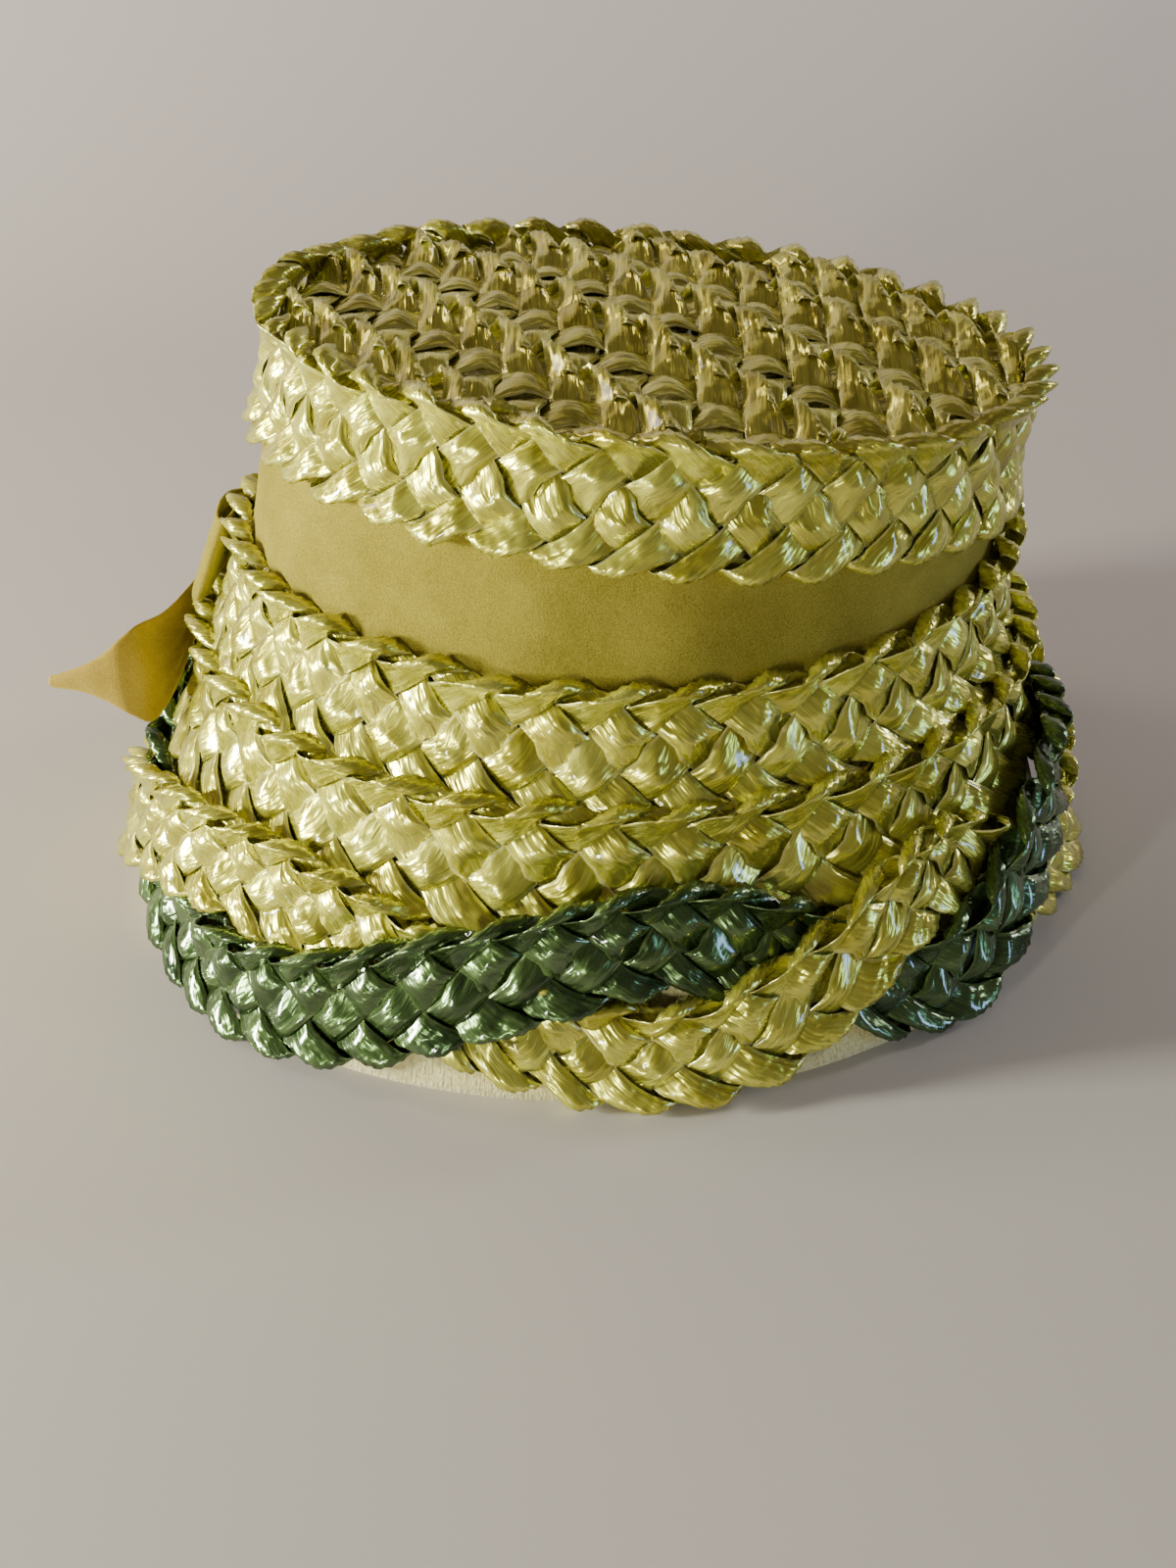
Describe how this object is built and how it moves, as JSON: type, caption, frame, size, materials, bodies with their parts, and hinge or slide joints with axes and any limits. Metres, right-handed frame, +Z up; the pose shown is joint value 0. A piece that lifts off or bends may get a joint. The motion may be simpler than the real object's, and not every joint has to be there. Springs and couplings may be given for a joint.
{
  "type": "straw bucket hat",
  "caption": "Straw bucket hat with a leaning plaited crown, velvet band and bow, and a brim of two straw plaits twisted round each other; it rests on its rim.",
  "frame": {"origin": "middle of the box in plan, on the floor plane under the rim", "axes": "+Z up, +Y towards the back of the hat, +X towards the wearer's left; the bow is at the front, -Y"},
  "size_m": [0.2552, 0.2974, 0.1774],
  "materials": {
    "straw": "satin",
    "green_straw": "satin",
    "velvet": "pile",
    "lining": "matt"
  },
  "bodies": {
    "root": {"crown_tip": "straw", "upper_crown_plait": "straw", "velvet_band": "velvet", "middle_crown_plait": "straw", "lower_crown_plait": "straw", "brim_lining": "lining", "brim_plait_yellow": "straw", "brim_plait_green": "green_straw", "bow_knot": "velvet", "bow_loop_left": "velvet", "bow_loop_right": "velvet", "bow_tail_left": "velvet", "bow_tail_right": "velvet"}
  },
  "joints": []
}
